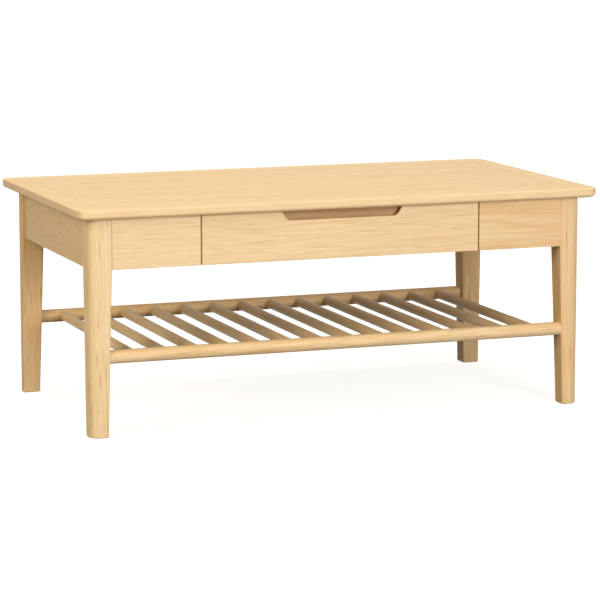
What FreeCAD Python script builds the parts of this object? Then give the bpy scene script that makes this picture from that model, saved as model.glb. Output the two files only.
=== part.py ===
import FreeCAD, Part
import math
import os

import Sketcher

# A coffee table in light oak: a framed top on four tapered legs, one wide drawer with a
# finger pull in its top edge, and a shelf of round rods between two round stretchers.
# X runs along the length, the front faces -Y, Z is up, and the origin is on the floor
# under the middle of the top. Every length is in millimetres.

SIZES = {
    # Table top: a panel in a mitred border
    "top_length": 1100,
    "top_depth": 600,
    "top_thickness": 20,
    "table_height": 450,
    "top_corner_radius": 22,
    "top_arris_radius": 2.5,
    "under_edge_reach": 16,
    "under_edge_rise": 8.5,
    "under_edge_nose": 6,
    "border_width": 48,
    "seam_chamfer": 0.8,
    "tongue_length": 8,
    "tongue_thickness": 6,
    # Legs: square at the head, the two inner faces tapered below the aprons
    "top_overhang": 27,
    "leg_head_width": 46,
    "leg_foot_width": 36,
    "leg_corner_radius": 22,
    "leg_arris": 2,
    "foot_chamfer": 1.5,
    # Aprons and the two fixed front panels
    "apron_height": 100,
    "apron_thickness": 20,
    "side_setback": 5,
    "front_setback": 1.5,
    "board_arris": 0.8,
    # Hidden frame round the drawer
    "divider_thickness": 18,
    "divider_inset": 2,
    "rail_thickness": 16,
    "rail_depth": 70,
    "rail_gap": 0.4,
    "frame_lift": 2,
    # Drawer front with its finger pull
    "drawer_front_width": 588,
    "drawer_front_thickness": 22,
    "drawer_gap": 2,
    "pull_top_width": 256,
    "pull_bottom_width": 222,
    "pull_depth": 17,
    "pull_corner_radius": 12,
    "lip_thickness": 7,
    "finger_gap": 8,
    "finger_depth": 14,
    "insert_length": 272,
    # Drawer box
    "drawer_length": 420,
    "drawer_side_thickness": 14,
    "drawer_side_inset": 8,
    "drawer_room_above": 6,
    "drawer_room_below": 4,
    "drawer_back_thickness": 12,
    "drawer_back_inset": 10,
    "drawer_bottom_thickness": 6,
    "drawer_bottom_lift": 8,
    "drawer_bottom_groove": 6,
    "dado_depth": 4,
    "dovetail_length": 8,
    "dovetail_neck": 8,
    "dovetail_flare": 1.5,
    "dovetail_stop": 8,
    # Side runners and the stop that keeps the drawer in
    "runner_groove_depth": 7,
    "runner_groove_height": 12,
    "runner_length": 400,
    "runner_seat_gap": 0.3,
    "runner_side_gap": 0.5,
    "runner_screw_margin": 50,
    "stop_length": 60,
    "stop_width": 14,
    "stop_height": 15,
    # Slatted shelf
    "shelf_height": 157.5,
    "stretcher_diameter": 27,
    "stretcher_setback": 1.5,
    "stretcher_tenon_diameter": 16,
    "stretcher_tenon_length": 20,
    "rod_count": 14,
    "rod_diameter": 20,
    "rod_end_gap": 53,
    "rod_tenon_diameter": 12,
    "rod_tenon_length": 14,
    "cope_sides": 16,
    # Corner blocks
    "block_leg": 60,
    "block_height": 45,
    "block_screw_inset": 9.5,
    # Dowels in the butt joints
    "dowel_diameter": 8,
    "dowel_length": 30,
    "dowel_face_depth": 10,
    "dowel_margin": 25,
    "rail_dowel_margin": 15,
    # Wood screws: the common size and a small one for the drawer bottom
    "screw_diameter": 4,
    "screw_length": 25,
    "screw_head_diameter": 8,
    "screw_head_height": 2.6,
    "rail_screw_spacing": 400,
    "small_screw_diameter": 3,
    "small_screw_length": 16,
    "small_screw_head_diameter": 6,
    "small_screw_head_height": 2,
    "bottom_screw_spacing": 200,
    # Flats round each tenon, dowel, screw and their holes: all are hidden, so a few will do
    "joint_sides": 6,
    "screw_sides": 8,
    # Room in glued joints and screw holes
    "glue_fit": 0.1,
    "hole_end_room": 0.5,
    "panel_fit": 0.2,
}

doc = FreeCAD.newDocument("coffee_table")
sheet = doc.addObject("Spreadsheet::Sheet", "Sizes")
for row, (alias, value) in enumerate(SIZES.items(), start=1):
    sheet.set(f"A{row}", alias)
    sheet.set(f"B{row}", str(value))
    sheet.setAlias(f"B{row}", alias)
doc.recompute()

# Places that several pieces share, each an expression on the sheet
UNDERSIDE = "(Sizes.table_height - Sizes.top_thickness)"
APRON_BOTTOM = f"({UNDERSIDE} - Sizes.apron_height)"
TONGUE_BOTTOM = f"({UNDERSIDE} + (Sizes.top_thickness - Sizes.tongue_thickness) / 2)"
LEG_FACE_X = "(Sizes.top_length / 2 - Sizes.top_overhang)"
LEG_FACE_Y = "(Sizes.top_depth / 2 - Sizes.top_overhang)"
LEG_INNER_X = f"({LEG_FACE_X} - Sizes.leg_head_width)"
LEG_INNER_Y = f"({LEG_FACE_Y} - Sizes.leg_head_width)"
FOOT_INNER_X = f"({LEG_FACE_X} - Sizes.leg_foot_width)"
FOOT_INNER_Y = f"({LEG_FACE_Y} - Sizes.leg_foot_width)"
SIDE_FACE_X = f"({LEG_FACE_X} - Sizes.side_setback)"
SIDE_INNER_X = f"({SIDE_FACE_X} - Sizes.apron_thickness)"
FRONT_FACE_Y = f"({LEG_FACE_Y} - Sizes.front_setback)"
FRONT_INNER_Y = f"({FRONT_FACE_Y} - Sizes.apron_thickness)"
PANEL_END_X = "(Sizes.drawer_front_width / 2 + Sizes.drawer_gap)"
DIVIDER_FACE_X = f"({PANEL_END_X} + Sizes.divider_inset)"
DIVIDER_MIDDLE_X = f"({DIVIDER_FACE_X} + Sizes.divider_thickness / 2)"
FRAME_BOTTOM = f"({APRON_BOTTOM} + Sizes.frame_lift)"
DRAWER_FRONT_TOP = f"({UNDERSIDE} - Sizes.drawer_gap)"
DRAWER_FRONT_BACK = f"(Sizes.drawer_front_thickness - {FRONT_FACE_Y})"
RAIL_FRONT = f"({DRAWER_FRONT_BACK} + Sizes.rail_gap)"
RAIL_BACK = f"({RAIL_FRONT} + Sizes.rail_depth)"
UPPER_RAIL_BOTTOM = f"({UNDERSIDE} - Sizes.rail_thickness)"
LOWER_RAIL_TOP = f"({FRAME_BOTTOM} + Sizes.rail_thickness)"
SCREW_SEAT = "(Sizes.screw_head_height + Sizes.hole_end_room)"
PULL_BOTTOM = f"({DRAWER_FRONT_TOP} - Sizes.pull_depth)"
INSERT_BOTTOM = f"({PULL_BOTTOM} - Sizes.finger_depth)"
BOX_OUTER_X = "(Sizes.drawer_front_width / 2 - Sizes.drawer_side_inset)"
BOX_INNER_X = f"({BOX_OUTER_X} - Sizes.drawer_side_thickness)"
BOX_END_Y = f"(Sizes.drawer_length - {FRONT_FACE_Y})"
BOX_TOP = f"({UPPER_RAIL_BOTTOM} - Sizes.drawer_room_above)"
BOX_BOTTOM = f"({LOWER_RAIL_TOP} + Sizes.drawer_room_below)"
DOVETAIL_TOP = f"({BOX_TOP} - Sizes.dovetail_stop)"
DRAWER_BACK_REAR = f"({BOX_END_Y} - Sizes.drawer_back_inset)"
DRAWER_BACK_FACE = f"({DRAWER_BACK_REAR} - Sizes.drawer_back_thickness)"
TRAY_BOTTOM = f"({BOX_BOTTOM} + Sizes.drawer_bottom_lift)"
TRAY_TOP = f"({TRAY_BOTTOM} + Sizes.drawer_bottom_thickness)"
GROOVE_MIDDLE = f"(({BOX_TOP} + {BOX_BOTTOM}) / 2)"
GROOVE_TOP = f"({GROOVE_MIDDLE} + Sizes.runner_groove_height / 2)"
GROOVE_BOTTOM = f"({GROOVE_MIDDLE} - Sizes.runner_groove_height / 2)"
GROOVE_FLOOR_X = f"({BOX_OUTER_X} - Sizes.runner_groove_depth)"
RUNNER_FACE_X = f"({GROOVE_FLOOR_X} + Sizes.runner_side_gap)"
RUNNER_END_Y = f"({RAIL_FRONT} + Sizes.runner_length)"
STRETCHER_Y = f"({LEG_FACE_Y} - Sizes.stretcher_setback - Sizes.stretcher_diameter / 2)"
LEG_TAPER = f"((Sizes.leg_head_width - Sizes.leg_foot_width) / {APRON_BOTTOM})"
SHELF_LEG_X = f"({FOOT_INNER_X} - {LEG_TAPER} * Sizes.shelf_height)"
TENON_END_X = f"({SHELF_LEG_X} + Sizes.stretcher_tenon_length)"
ROD_TENON_Y = f"({STRETCHER_Y} - Sizes.stretcher_diameter / 2 + Sizes.rod_tenon_length)"
DOWEL_HEIGHTS = (f"({APRON_BOTTOM} + Sizes.dowel_margin)", f"({UNDERSIDE} - Sizes.dowel_margin)")

# The origin plane square to each axis, and which way that plane's normal points
PLANE_ROLE = {"X": "YZ_Plane", "Y": "XZ_Plane", "Z": "XY_Plane"}
NORMAL_WAY = {"X": 1, "Y": -1, "Z": 1}
SIDES = {"left": -1, "right": 1}
ENDS = {"front": -1, "back": 1}

pieces = []
dowels = []
screws = {}


def number(expression):
    """The present value of an expression on the sheet."""
    return float(sheet.evalExpression(expression))


# Sketches

def lay_across(feature, body, axis, place):
    """Lays a sketch or a feature square to an axis of the frame, at a place along it."""
    plane = next(o for o in body.Origin.OriginFeatures if o.Role == PLANE_ROLE[axis])
    feature.AttachmentSupport = [(plane, "")]
    feature.MapMode = "FlatFace"
    feature.setExpression("AttachmentOffset.Base.z", f"{NORMAL_WAY[axis]} * ({place})")


def sketch_across(body, axis, place):
    """A sketch square to an axis of the frame, at a place along it."""
    sketch = body.newObject("Sketcher::SketchObject", "sketch")
    lay_across(sketch, body, axis, place)
    return sketch


def measure(sketch, kind, *target, by):
    """A dimension of the sketch, bound to an expression."""
    index = sketch.addConstraint(Sketcher.Constraint(kind, *target, number(by)))
    sketch.setExpression(f"Constraints[{index}]", by)


def fix_point(sketch, geometry, end, point):
    """Fixes one point of a sketch at a pair of expressions."""
    measure(sketch, "DistanceX", -1, 1, geometry, end, by=point[0])
    measure(sketch, "DistanceY", -1, 1, geometry, end, by=point[1])


def flat(x, y):
    """A point in a sketch's own plane."""
    return FreeCAD.Vector(x, y, 0)


def arc(centre, radius, start, end):
    """An anticlockwise arc between two angles."""
    return Part.ArcOfCircle(Part.Circle(centre, FreeCAD.Vector(0, 0, 1), radius), start, end)


def outline(sketch, corners):
    """A closed outline of straight lines through pairs of expressions."""
    points = [flat(number(x), number(y)) for x, y in corners]
    count = len(points)
    for index in range(count):
        sketch.addGeometry(Part.LineSegment(points[index], points[(index + 1) % count]), False)
    for index in range(count):
        sketch.addConstraint(Sketcher.Constraint("Coincident", index, 2, (index + 1) % count, 1))
    for index, corner in enumerate(corners):
        fix_point(sketch, index, 1, corner)


def rectangle(sketch, across, up):
    """A rectangle between two pairs of expressions."""
    outline(sketch, [(across[0], up[0]), (across[1], up[0]), (across[1], up[1]), (across[0], up[1])])


def circles(sketch, centres, diameter):
    """Equal circles, each centre a pair of expressions."""
    for index, (x, y) in enumerate(centres):
        middle = flat(number(x), number(y))
        sketch.addGeometry(Part.Circle(middle, FreeCAD.Vector(0, 0, 1), number(diameter) / 2), False)
        measure(sketch, "Diameter", index, by=diameter)
        fix_point(sketch, index, 3, (x, y))


def rounded_rectangle(sketch, across, up, radius):
    """A rectangle with round corners, as lines and tangent arcs, from the low corner anticlockwise."""
    low_x, high_x = sorted(number(x) for x in across)
    low_y, high_y = sorted(number(y) for y in up)
    corners = [flat(low_x, low_y), flat(high_x, low_y), flat(high_x, high_y), flat(low_x, high_y)]
    onward = [flat(1, 0), flat(0, 1), flat(-1, 0), flat(0, -1)]
    bend = number(radius)
    for index in range(4):
        start, end = corners[index], corners[(index + 1) % 4]
        run, turn = onward[index] * bend, onward[(index + 1) % 4] * bend
        sketch.addGeometry(Part.LineSegment(start + run, end - run), False)
        angle = (index - 1) * math.pi / 2
        sketch.addGeometry(arc(end - run + turn, bend, angle, angle + math.pi / 2), False)
    for index in range(8):
        sketch.addConstraint(Sketcher.Constraint("Tangent", index, 2, (index + 1) % 8, 1))
    for index in range(4):
        direction = "Horizontal" if index % 2 == 0 else "Vertical"
        sketch.addConstraint(Sketcher.Constraint(direction, 2 * index))
        measure(sketch, "Radius", 2 * index + 1, by=radius)
    by_place = {"x": sorted(across, key=number), "y": sorted(up, key=number)}
    measure(sketch, "DistanceY", -1, 1, 0, 1, by=by_place["y"][0])
    measure(sketch, "DistanceX", -1, 1, 2, 1, by=by_place["x"][1])
    measure(sketch, "DistanceY", -1, 1, 4, 1, by=by_place["y"][1])
    measure(sketch, "DistanceX", -1, 1, 6, 1, by=by_place["x"][0])


# Features

def new_body(label, is_piece=True):
    """An empty body, kept as a piece of the table unless it only helps to shape one."""
    body = doc.addObject("PartDesign::Body", label)
    body.Label = label
    if is_piece:
        pieces.append(body)
    return body


def pad(body, sketch, length, axis, way):
    """Grows a sketch into a solid, along its axis one way or the other."""
    feature = body.newObject("PartDesign::Pad", "pad")
    feature.Profile = sketch
    feature.setExpression("Length", length)
    feature.Reversed = way != NORMAL_WAY[axis]
    return feature


def pocket(body, sketch, depth, axis, way):
    """Cuts a sketch out of the body, along its axis one way or the other."""
    feature = body.newObject("PartDesign::Pocket", "pocket")
    feature.Profile = sketch
    feature.setExpression("Length", depth)
    feature.Reversed = way == NORMAL_WAY[axis]
    return feature


def add_block(body, x, y, z):
    """Adds a rectangular block between three pairs of expressions."""
    sketch = sketch_across(body, "Z", z[0])
    rectangle(sketch, x, y)
    pad(body, sketch, f"({z[1]}) - ({z[0]})", "Z", 1)


def cut_block(body, x, y, z):
    """Cuts a rectangular block between three pairs of expressions."""
    sketch = sketch_across(body, "Z", z[0])
    rectangle(sketch, x, y)
    pocket(body, sketch, f"({z[1]}) - ({z[0]})", "Z", 1)


def board(label, x, y, z):
    """A plain board between three pairs of expressions."""
    body = new_body(label)
    add_block(body, x, y, z)
    return body


def few_sided(body, kind, axis, place, centre, diameter, length, way, sides="Sizes.joint_sides"):
    """A bar with a few flats, added to a body or cut from it, from a place along an axis."""
    bar = body.newObject(f"PartDesign::{kind}Prism", kind.lower())
    bar.Refine = False
    low_end = place if way == NORMAL_WAY[axis] else f"{place} + {way} * ({length})"
    lay_across(bar, body, axis, low_end)
    bar.setExpression("AttachmentOffset.Base.x", centre[0])
    bar.setExpression("AttachmentOffset.Base.y", centre[1])
    bar.setExpression("Polygon", sides)
    bar.setExpression("Circumradius", f"({diameter}) / 2")
    bar.setExpression("Height", length)


def bore(body, axis, place, centres, diameter, depth, way, sides="Sizes.joint_sides"):
    """Bores holes into a body from a place along an axis."""
    for centre in centres:
        few_sided(body, "Subtractive", axis, place, centre, diameter, depth, way, sides)


def dress(body, kind, size_name, size, chosen):
    """Rounds or chamfers the edges of the body that a test chooses."""
    doc.recompute()
    base = body.Tip
    names = [f"Edge{index}" for index, edge in enumerate(base.Shape.Edges, start=1) if chosen(edge)]
    feature = body.newObject(f"PartDesign::{kind}", kind.lower())
    feature.Base = (base, names)
    feature.setExpression(size_name, size)


def round_edges(body, radius, chosen):
    dress(body, "Fillet", "Radius", radius, chosen)


def chamfer_edges(body, size, chosen):
    dress(body, "Chamfer", "Size", size, chosen)


def lies_at(shape, **places):
    """Whether every corner of an edge or a face lies at the given x, y or z."""
    corners = [vertex.Point for vertex in shape.Vertexes]
    return all(abs(getattr(p, axis) - place) < 1e-6 for axis, place in places.items() for p in corners)


def rises_from(edge, x, y):
    """Whether an edge leaves the floor at a point."""
    foot = FreeCAD.Vector(x, y, 0)
    return not lies_at(edge, z=0) and any(vertex.Point.isEqual(foot, 1e-6) for vertex in edge.Vertexes)


def mirrored(side, expression):
    """An expression on one side of the middle."""
    return f"({side} * {expression})"


def between(side, near, far):
    """A pair of expressions on one side of the middle."""
    return (mirrored(side, near), mirrored(side, far))


def both_ways(expression):
    """A pair of expressions either side of the middle."""
    return (f"(-1 * {expression})", expression)


def dowel_joint(end_piece, face_piece, axis, joint, way, centres, face_depth):
    """Bores two pieces where the end of one meets the face of the other, and notes a dowel there."""
    hole = "Sizes.dowel_diameter + 2 * Sizes.glue_fit"
    end_depth = f"Sizes.dowel_length - {face_depth} + Sizes.hole_end_room"
    bore(end_piece, axis, joint, centres, hole, end_depth, -way)
    bore(face_piece, axis, joint, centres, hole, f"{face_depth} + Sizes.hole_end_room", way)
    for centre in centres:
        dowels.append((axis, joint, way, centre, face_depth))


def screw_joint(group, held, anchor, axis, surface, seat_depth, way, centres, kind="screw"):
    """Bores a held piece and its anchor for screws driven one way, and notes the screws."""
    head_hole = f"Sizes.{kind}_head_diameter + 2 * Sizes.glue_fit"
    shank_hole = f"Sizes.{kind}_diameter + 2 * Sizes.glue_fit"
    seat = f"({surface} + {way} * {seat_depth})"
    hole_depth = f"Sizes.{kind}_length + Sizes.hole_end_room"
    bore(held, axis, surface, centres, head_hole, seat_depth, way, "Sizes.screw_sides")
    for body in (held, anchor):
        bore(body, axis, seat, centres, shank_hole, hole_depth, way, "Sizes.screw_sides")
    for centre in centres:
        screws.setdefault(group, []).append((axis, seat, way, centre, kind))


# Table top

def top_blank():
    """The whole slab before it is divided: round corners and a soft edge underneath."""
    half_length = "(Sizes.top_length / 2)"
    half_depth = "(Sizes.top_depth / 2)"
    body = new_body("top_blank", is_piece=False)
    plan = sketch_across(body, "Z", UNDERSIDE)
    rounded_rectangle(plan, both_ways(half_length), both_ways(half_depth), "Sizes.top_corner_radius")
    pad(body, plan, "Sizes.top_thickness", "Z", 1)
    waste = sketch_across(body, "X", "0")
    under_edge_waste(waste, f"-{half_depth}")
    sweep = body.newObject("PartDesign::SubtractivePipe", "under_edge")
    sweep.Profile = waste
    sweep.Spine = (plan, [""])
    round_edges(body, "Sizes.top_arris_radius", lambda edge: lies_at(edge, z=number("Sizes.table_height")))
    return body


def under_edge_waste(sketch, face):
    """What is cut from under the edge: two tangent arcs, tight at the face and slack below."""
    nose = number("Sizes.under_edge_nose")
    reach = number("Sizes.under_edge_reach")
    rise = number("Sizes.under_edge_rise")
    slack = ((reach - nose) ** 2 + rise ** 2 - nose ** 2) / (2 * (rise - nose))
    nose_centre = flat(number(face) + nose, number(UNDERSIDE) + rise)
    slack_centre = flat(number(face) + reach, number(UNDERSIDE) + slack)
    change = nose_centre - slack_centre
    turn = math.atan2(change.y, change.x) + 2 * math.pi
    sketch.addGeometry(arc(nose_centre, nose, math.pi, turn), False)
    sketch.addGeometry(arc(slack_centre, slack, turn, 3 * math.pi / 2), False)
    top = f"{UNDERSIDE} + Sizes.under_edge_rise"
    below = f"{UNDERSIDE} - Sizes.under_edge_rise"
    inside = f"{face} + Sizes.under_edge_reach"
    outside = f"{face} - Sizes.under_edge_reach"
    corners = [(inside, UNDERSIDE), (inside, below), (outside, below), (outside, top), (face, top)]
    points = [flat(number(x), number(y)) for x, y in corners]
    for start, end in zip(points, points[1:]):
        sketch.addGeometry(Part.LineSegment(start, end), False)
    sketch.addConstraint(Sketcher.Constraint("Tangent", 0, 2, 1, 1))
    for first, second in ((1, 2), (2, 3), (3, 4), (4, 5)):
        sketch.addConstraint(Sketcher.Constraint("Coincident", first, 2, second, 1))
    sketch.addConstraint(Sketcher.Constraint("Coincident", 5, 2, 0, 1))
    for index, corner in enumerate(corners[:4]):
        fix_point(sketch, index + 2, 1, corner)
    fix_point(sketch, 5, 2, corners[4])
    measure(sketch, "Radius", 0, by="Sizes.under_edge_nose")
    measure(sketch, "DistanceY", -1, 1, 0, 3, by=top)
    measure(sketch, "DistanceX", -1, 1, 1, 3, by=inside)


def border_board(label, blank, across_x, way):
    """One board of the border: its share of the slab between two mitres, grooved for the panel."""
    inner_x = "(Sizes.top_length / 2 - Sizes.border_width)"
    inner_y = "(Sizes.top_depth / 2 - Sizes.border_width)"
    outer_x = "(Sizes.top_length / 2 + Sizes.border_width)"
    outer_y = "(Sizes.top_depth / 2 + Sizes.border_width)"
    share = new_body(f"{label}_share", is_piece=False)
    plan = sketch_across(share, "Z", f"{UNDERSIDE} - Sizes.border_width")
    inner = [(mirrored(way, inner_x), mirrored(way, inner_y))]
    if across_x:
        inner.append((mirrored(-way, inner_x), mirrored(way, inner_y)))
        outer = [(mirrored(-way, outer_x), mirrored(way, outer_y))]
    else:
        inner.append((mirrored(way, inner_x), mirrored(-way, inner_y)))
        outer = [(mirrored(way, outer_x), mirrored(-way, outer_y))]
    outer.append((mirrored(way, outer_x), mirrored(way, outer_y)))
    outline(plan, inner + outer)
    pad(share, plan, "Sizes.top_thickness + 2 * Sizes.border_width", "Z", 1)
    cut = doc.addObject("Part::Common", f"{label}_blank")
    cut.Base = blank
    cut.Tool = share
    groove = doc.addObject("Part::Box", f"{label}_groove")
    slot_length = inner_x if across_x else inner_y
    slot_face = inner_y if across_x else inner_x
    slot_start = f"{slot_face}" if way > 0 else f"(-1 * {slot_face} - Sizes.tongue_length)"
    along, across = ("x", "y") if across_x else ("y", "x")
    long_side, short_side = ("Length", "Width") if across_x else ("Width", "Length")
    groove.setExpression(long_side, f"2 * {slot_length}")
    groove.setExpression(short_side, "Sizes.tongue_length")
    groove.setExpression("Height", "Sizes.tongue_thickness")
    groove.setExpression(f"Placement.Base.{along}", f"-1 * {slot_length}")
    groove.setExpression(f"Placement.Base.{across}", slot_start)
    groove.setExpression("Placement.Base.z", TONGUE_BOTTOM)
    grooved = doc.addObject("Part::Cut", label)
    grooved.Label = label
    grooved.Base = cut
    grooved.Tool = groove
    pieces.append(grooved)


def centre_panel():
    """The panel inside the border, with a tongue on each edge."""
    half_x = "(Sizes.top_length / 2 - Sizes.border_width)"
    half_y = "(Sizes.top_depth / 2 - Sizes.border_width)"
    tongue = (TONGUE_BOTTOM, f"{TONGUE_BOTTOM} + Sizes.tongue_thickness")
    body = board("top_panel", both_ways(half_x), both_ways(half_y), (UNDERSIDE, "Sizes.table_height"))
    chamfer_edges(body, "Sizes.seam_chamfer", lambda edge: lies_at(edge, z=number("Sizes.table_height")))
    add_block(body, both_ways(f"({half_x} + Sizes.tongue_length)"), both_ways(half_y), tongue)
    add_block(body, both_ways(half_x), both_ways(f"({half_y} + Sizes.tongue_length)"), tongue)
    return body


# Legs

def leg(label, side, end):
    """A leg, square between the aprons and tapered on its two inner faces below them."""
    x = between(side, LEG_INNER_X, LEG_FACE_X)
    y = between(end, LEG_INNER_Y, LEG_FACE_Y)
    foot_x, foot_y = mirrored(side, FOOT_INNER_X), mirrored(end, FOOT_INNER_Y)
    body = new_body(label)
    add_block(body, x, y, ("0", APRON_BOTTOM))
    x_taper = sketch_across(body, "Y", y[0])
    outline(x_taper, [(x[0], APRON_BOTTOM), (x[0], "0"), (foot_x, "0")])
    pocket(body, x_taper, "Sizes.leg_head_width", "Y", end)
    y_taper = sketch_across(body, "X", x[0])
    outline(y_taper, [(y[0], APRON_BOTTOM), (y[0], "0"), (foot_y, "0")])
    pocket(body, y_taper, "Sizes.leg_head_width", "X", side)
    outer_x, outer_y = number(x[1]), number(y[1])
    inner_x, inner_y = number(foot_x), number(foot_y)
    arrises = [(inner_x, outer_y), (inner_x, inner_y), (outer_x, inner_y)]
    round_edges(body, "Sizes.leg_corner_radius", lambda edge: rises_from(edge, outer_x, outer_y))
    chamfer_edges(body, "Sizes.leg_arris", lambda edge: any(rises_from(edge, *foot) for foot in arrises))
    chamfer_edges(body, "Sizes.foot_chamfer", lambda edge: lies_at(edge, z=0))
    doc.recompute()
    base = body.Tip
    top = next(i for i, face in enumerate(base.Shape.Faces, start=1) if lies_at(face, z=number(APRON_BOTTOM)))
    pad(body, (base, [f"Face{top}"]), "Sizes.apron_height", "Z", 1)
    return body


# Aprons, fixed front panels and the hidden frame round the drawer

def side_apron(label, side):
    body = board(
        label,
        between(side, SIDE_INNER_X, SIDE_FACE_X),
        both_ways(LEG_INNER_Y),
        (APRON_BOTTOM, UNDERSIDE),
    )
    ease_lower_edge(body, x=number(mirrored(side, SIDE_FACE_X)))
    return body


def back_apron():
    body = board(
        "back_apron",
        both_ways(LEG_INNER_X),
        (FRONT_INNER_Y, FRONT_FACE_Y),
        (APRON_BOTTOM, UNDERSIDE),
    )
    ease_lower_edge(body, y=number(FRONT_FACE_Y))
    return body


def front_panel(label, side):
    body = board(
        label,
        between(side, PANEL_END_X, LEG_INNER_X),
        between(-1, FRONT_FACE_Y, FRONT_INNER_Y),
        (APRON_BOTTOM, UNDERSIDE),
    )
    front = number(mirrored(-1, FRONT_FACE_Y))
    top = number(UNDERSIDE)
    chamfer_edges(
        body,
        "Sizes.board_arris",
        lambda edge: lies_at(edge, y=front) and not lies_at(edge, z=top),
    )
    return body


def ease_lower_edge(body, **face):
    """Eases the lower outer edge of a board."""
    bottom = number(APRON_BOTTOM)
    chamfer_edges(body, "Sizes.board_arris", lambda edge: lies_at(edge, z=bottom, **face))


def divider(label, side):
    far = f"({DIVIDER_FACE_X} + Sizes.divider_thickness)"
    return board(
        label,
        between(side, DIVIDER_FACE_X, far),
        both_ways(FRONT_INNER_Y),
        (FRAME_BOTTOM, UNDERSIDE),
    )


def rail(label, bottom):
    return board(
        label,
        both_ways(DIVIDER_FACE_X),
        (RAIL_FRONT, RAIL_BACK),
        (bottom, f"{bottom} + Sizes.rail_thickness"),
    )


def corner_block(label, side, end):
    """A block glued into a corner of the frame, notched round the leg."""
    leg_x, leg_y = mirrored(side, LEG_INNER_X), mirrored(end, LEG_INNER_Y)
    apron_x, apron_y = mirrored(side, SIDE_INNER_X), mirrored(end, FRONT_INNER_Y)
    tip_x = mirrored(side, f"({LEG_INNER_X} - Sizes.block_leg)")
    tip_y = mirrored(end, f"({LEG_INNER_Y} - Sizes.block_leg)")
    body = new_body(label)
    plan = sketch_across(body, "Z", f"{UNDERSIDE} - Sizes.block_height")
    outline(plan, [(apron_x, leg_y), (apron_x, tip_y), (tip_x, apron_y), (leg_x, apron_y), (leg_x, leg_y)])
    pad(body, plan, "Sizes.block_height", "Z", 1)
    return body


def runner(label, side):
    """A hardwood strip on the divider, for the groove in the side of the drawer."""
    return board(
        label,
        between(side, RUNNER_FACE_X, DIVIDER_FACE_X),
        (RAIL_FRONT, RUNNER_END_Y),
        (f"{GROOVE_BOTTOM} + Sizes.runner_side_gap", f"{GROOVE_TOP} - Sizes.runner_seat_gap"),
    )


def drawer_stop():
    """A turn button under the upper rail, which catches the back of the drawer."""
    return board(
        "drawer_stop",
        both_ways("(Sizes.stop_length / 2)"),
        (f"({RAIL_BACK} - Sizes.stop_width)", RAIL_BACK),
        (f"({UPPER_RAIL_BOTTOM} - Sizes.stop_height)", UPPER_RAIL_BOTTOM),
    )


# Drawer

def drawer_front():
    """The drawer front: a lip cut away along the top edge, and room behind it for fingers."""
    face = mirrored(-1, FRONT_FACE_Y)
    half = "(Sizes.drawer_front_width / 2)"
    pull_top, pull_bottom = "(Sizes.pull_top_width / 2)", "(Sizes.pull_bottom_width / 2)"
    body = new_body("drawer_front")
    front = sketch_across(body, "Y", face)
    right = [
        (half, APRON_BOTTOM),
        (half, DRAWER_FRONT_TOP),
        (pull_top, DRAWER_FRONT_TOP),
        (pull_bottom, PULL_BOTTOM),
    ]
    left = [(mirrored(-1, x), z) for x, z in reversed(right)]
    outline(front, right + left)
    pad(body, front, "Sizes.drawer_front_thickness", "Y", 1)
    cut_block(
        body,
        both_ways("(Sizes.insert_length / 2)"),
        (f"{face} + Sizes.lip_thickness", DRAWER_FRONT_BACK),
        (INSERT_BOTTOM, DRAWER_FRONT_TOP),
    )
    bend_x, bend_z = number(pull_bottom), number(PULL_BOTTOM)
    round_edges(
        body,
        "Sizes.pull_corner_radius",
        lambda edge: lies_at(edge, x=bend_x, z=bend_z) or lies_at(edge, x=-bend_x, z=bend_z),
    )
    chamfer_edges(body, "Sizes.board_arris", lambda edge: lies_at(edge, y=number(face)))
    for side in SIDES.values():
        housing = sketch_across(body, "Z", APRON_BOTTOM)
        outline(housing, dovetail(side, "Sizes.glue_fit"))
        pocket(body, housing, f"{DOVETAIL_TOP} - {APRON_BOTTOM} + Sizes.glue_fit", "Z", 1)
    cut_block(
        body,
        both_ways(f"({BOX_INNER_X} + Sizes.drawer_bottom_groove)"),
        (f"{DRAWER_FRONT_BACK} - Sizes.drawer_bottom_groove", DRAWER_FRONT_BACK),
        (f"{TRAY_BOTTOM} - Sizes.panel_fit", f"{TRAY_TOP} + Sizes.panel_fit"),
    )
    return body


def dovetail(side, room):
    """The plan of the dovetail that holds a drawer side in the front, with room round it."""
    middle = f"(({BOX_OUTER_X} + {BOX_INNER_X}) / 2)"
    neck = f"(Sizes.dovetail_neck / 2 + {room})"
    tail = f"({neck} + Sizes.dovetail_flare)"
    deep = f"({DRAWER_FRONT_BACK} - Sizes.dovetail_length - {room})"
    return [
        (mirrored(side, f"({middle} - {neck})"), DRAWER_FRONT_BACK),
        (mirrored(side, f"({middle} - {tail})"), deep),
        (mirrored(side, f"({middle} + {tail})"), deep),
        (mirrored(side, f"({middle} + {neck})"), DRAWER_FRONT_BACK),
    ]


def handle_insert():
    """The dark strip behind the lip, in line with the back of the drawer front."""
    thickness = "(Sizes.drawer_front_thickness - Sizes.lip_thickness - Sizes.finger_gap)"
    return board(
        "handle_insert",
        both_ways("(Sizes.insert_length / 2 - Sizes.glue_fit)"),
        (f"{DRAWER_FRONT_BACK} - {thickness}", DRAWER_FRONT_BACK),
        (INSERT_BOTTOM, DRAWER_FRONT_TOP),
    )


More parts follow.
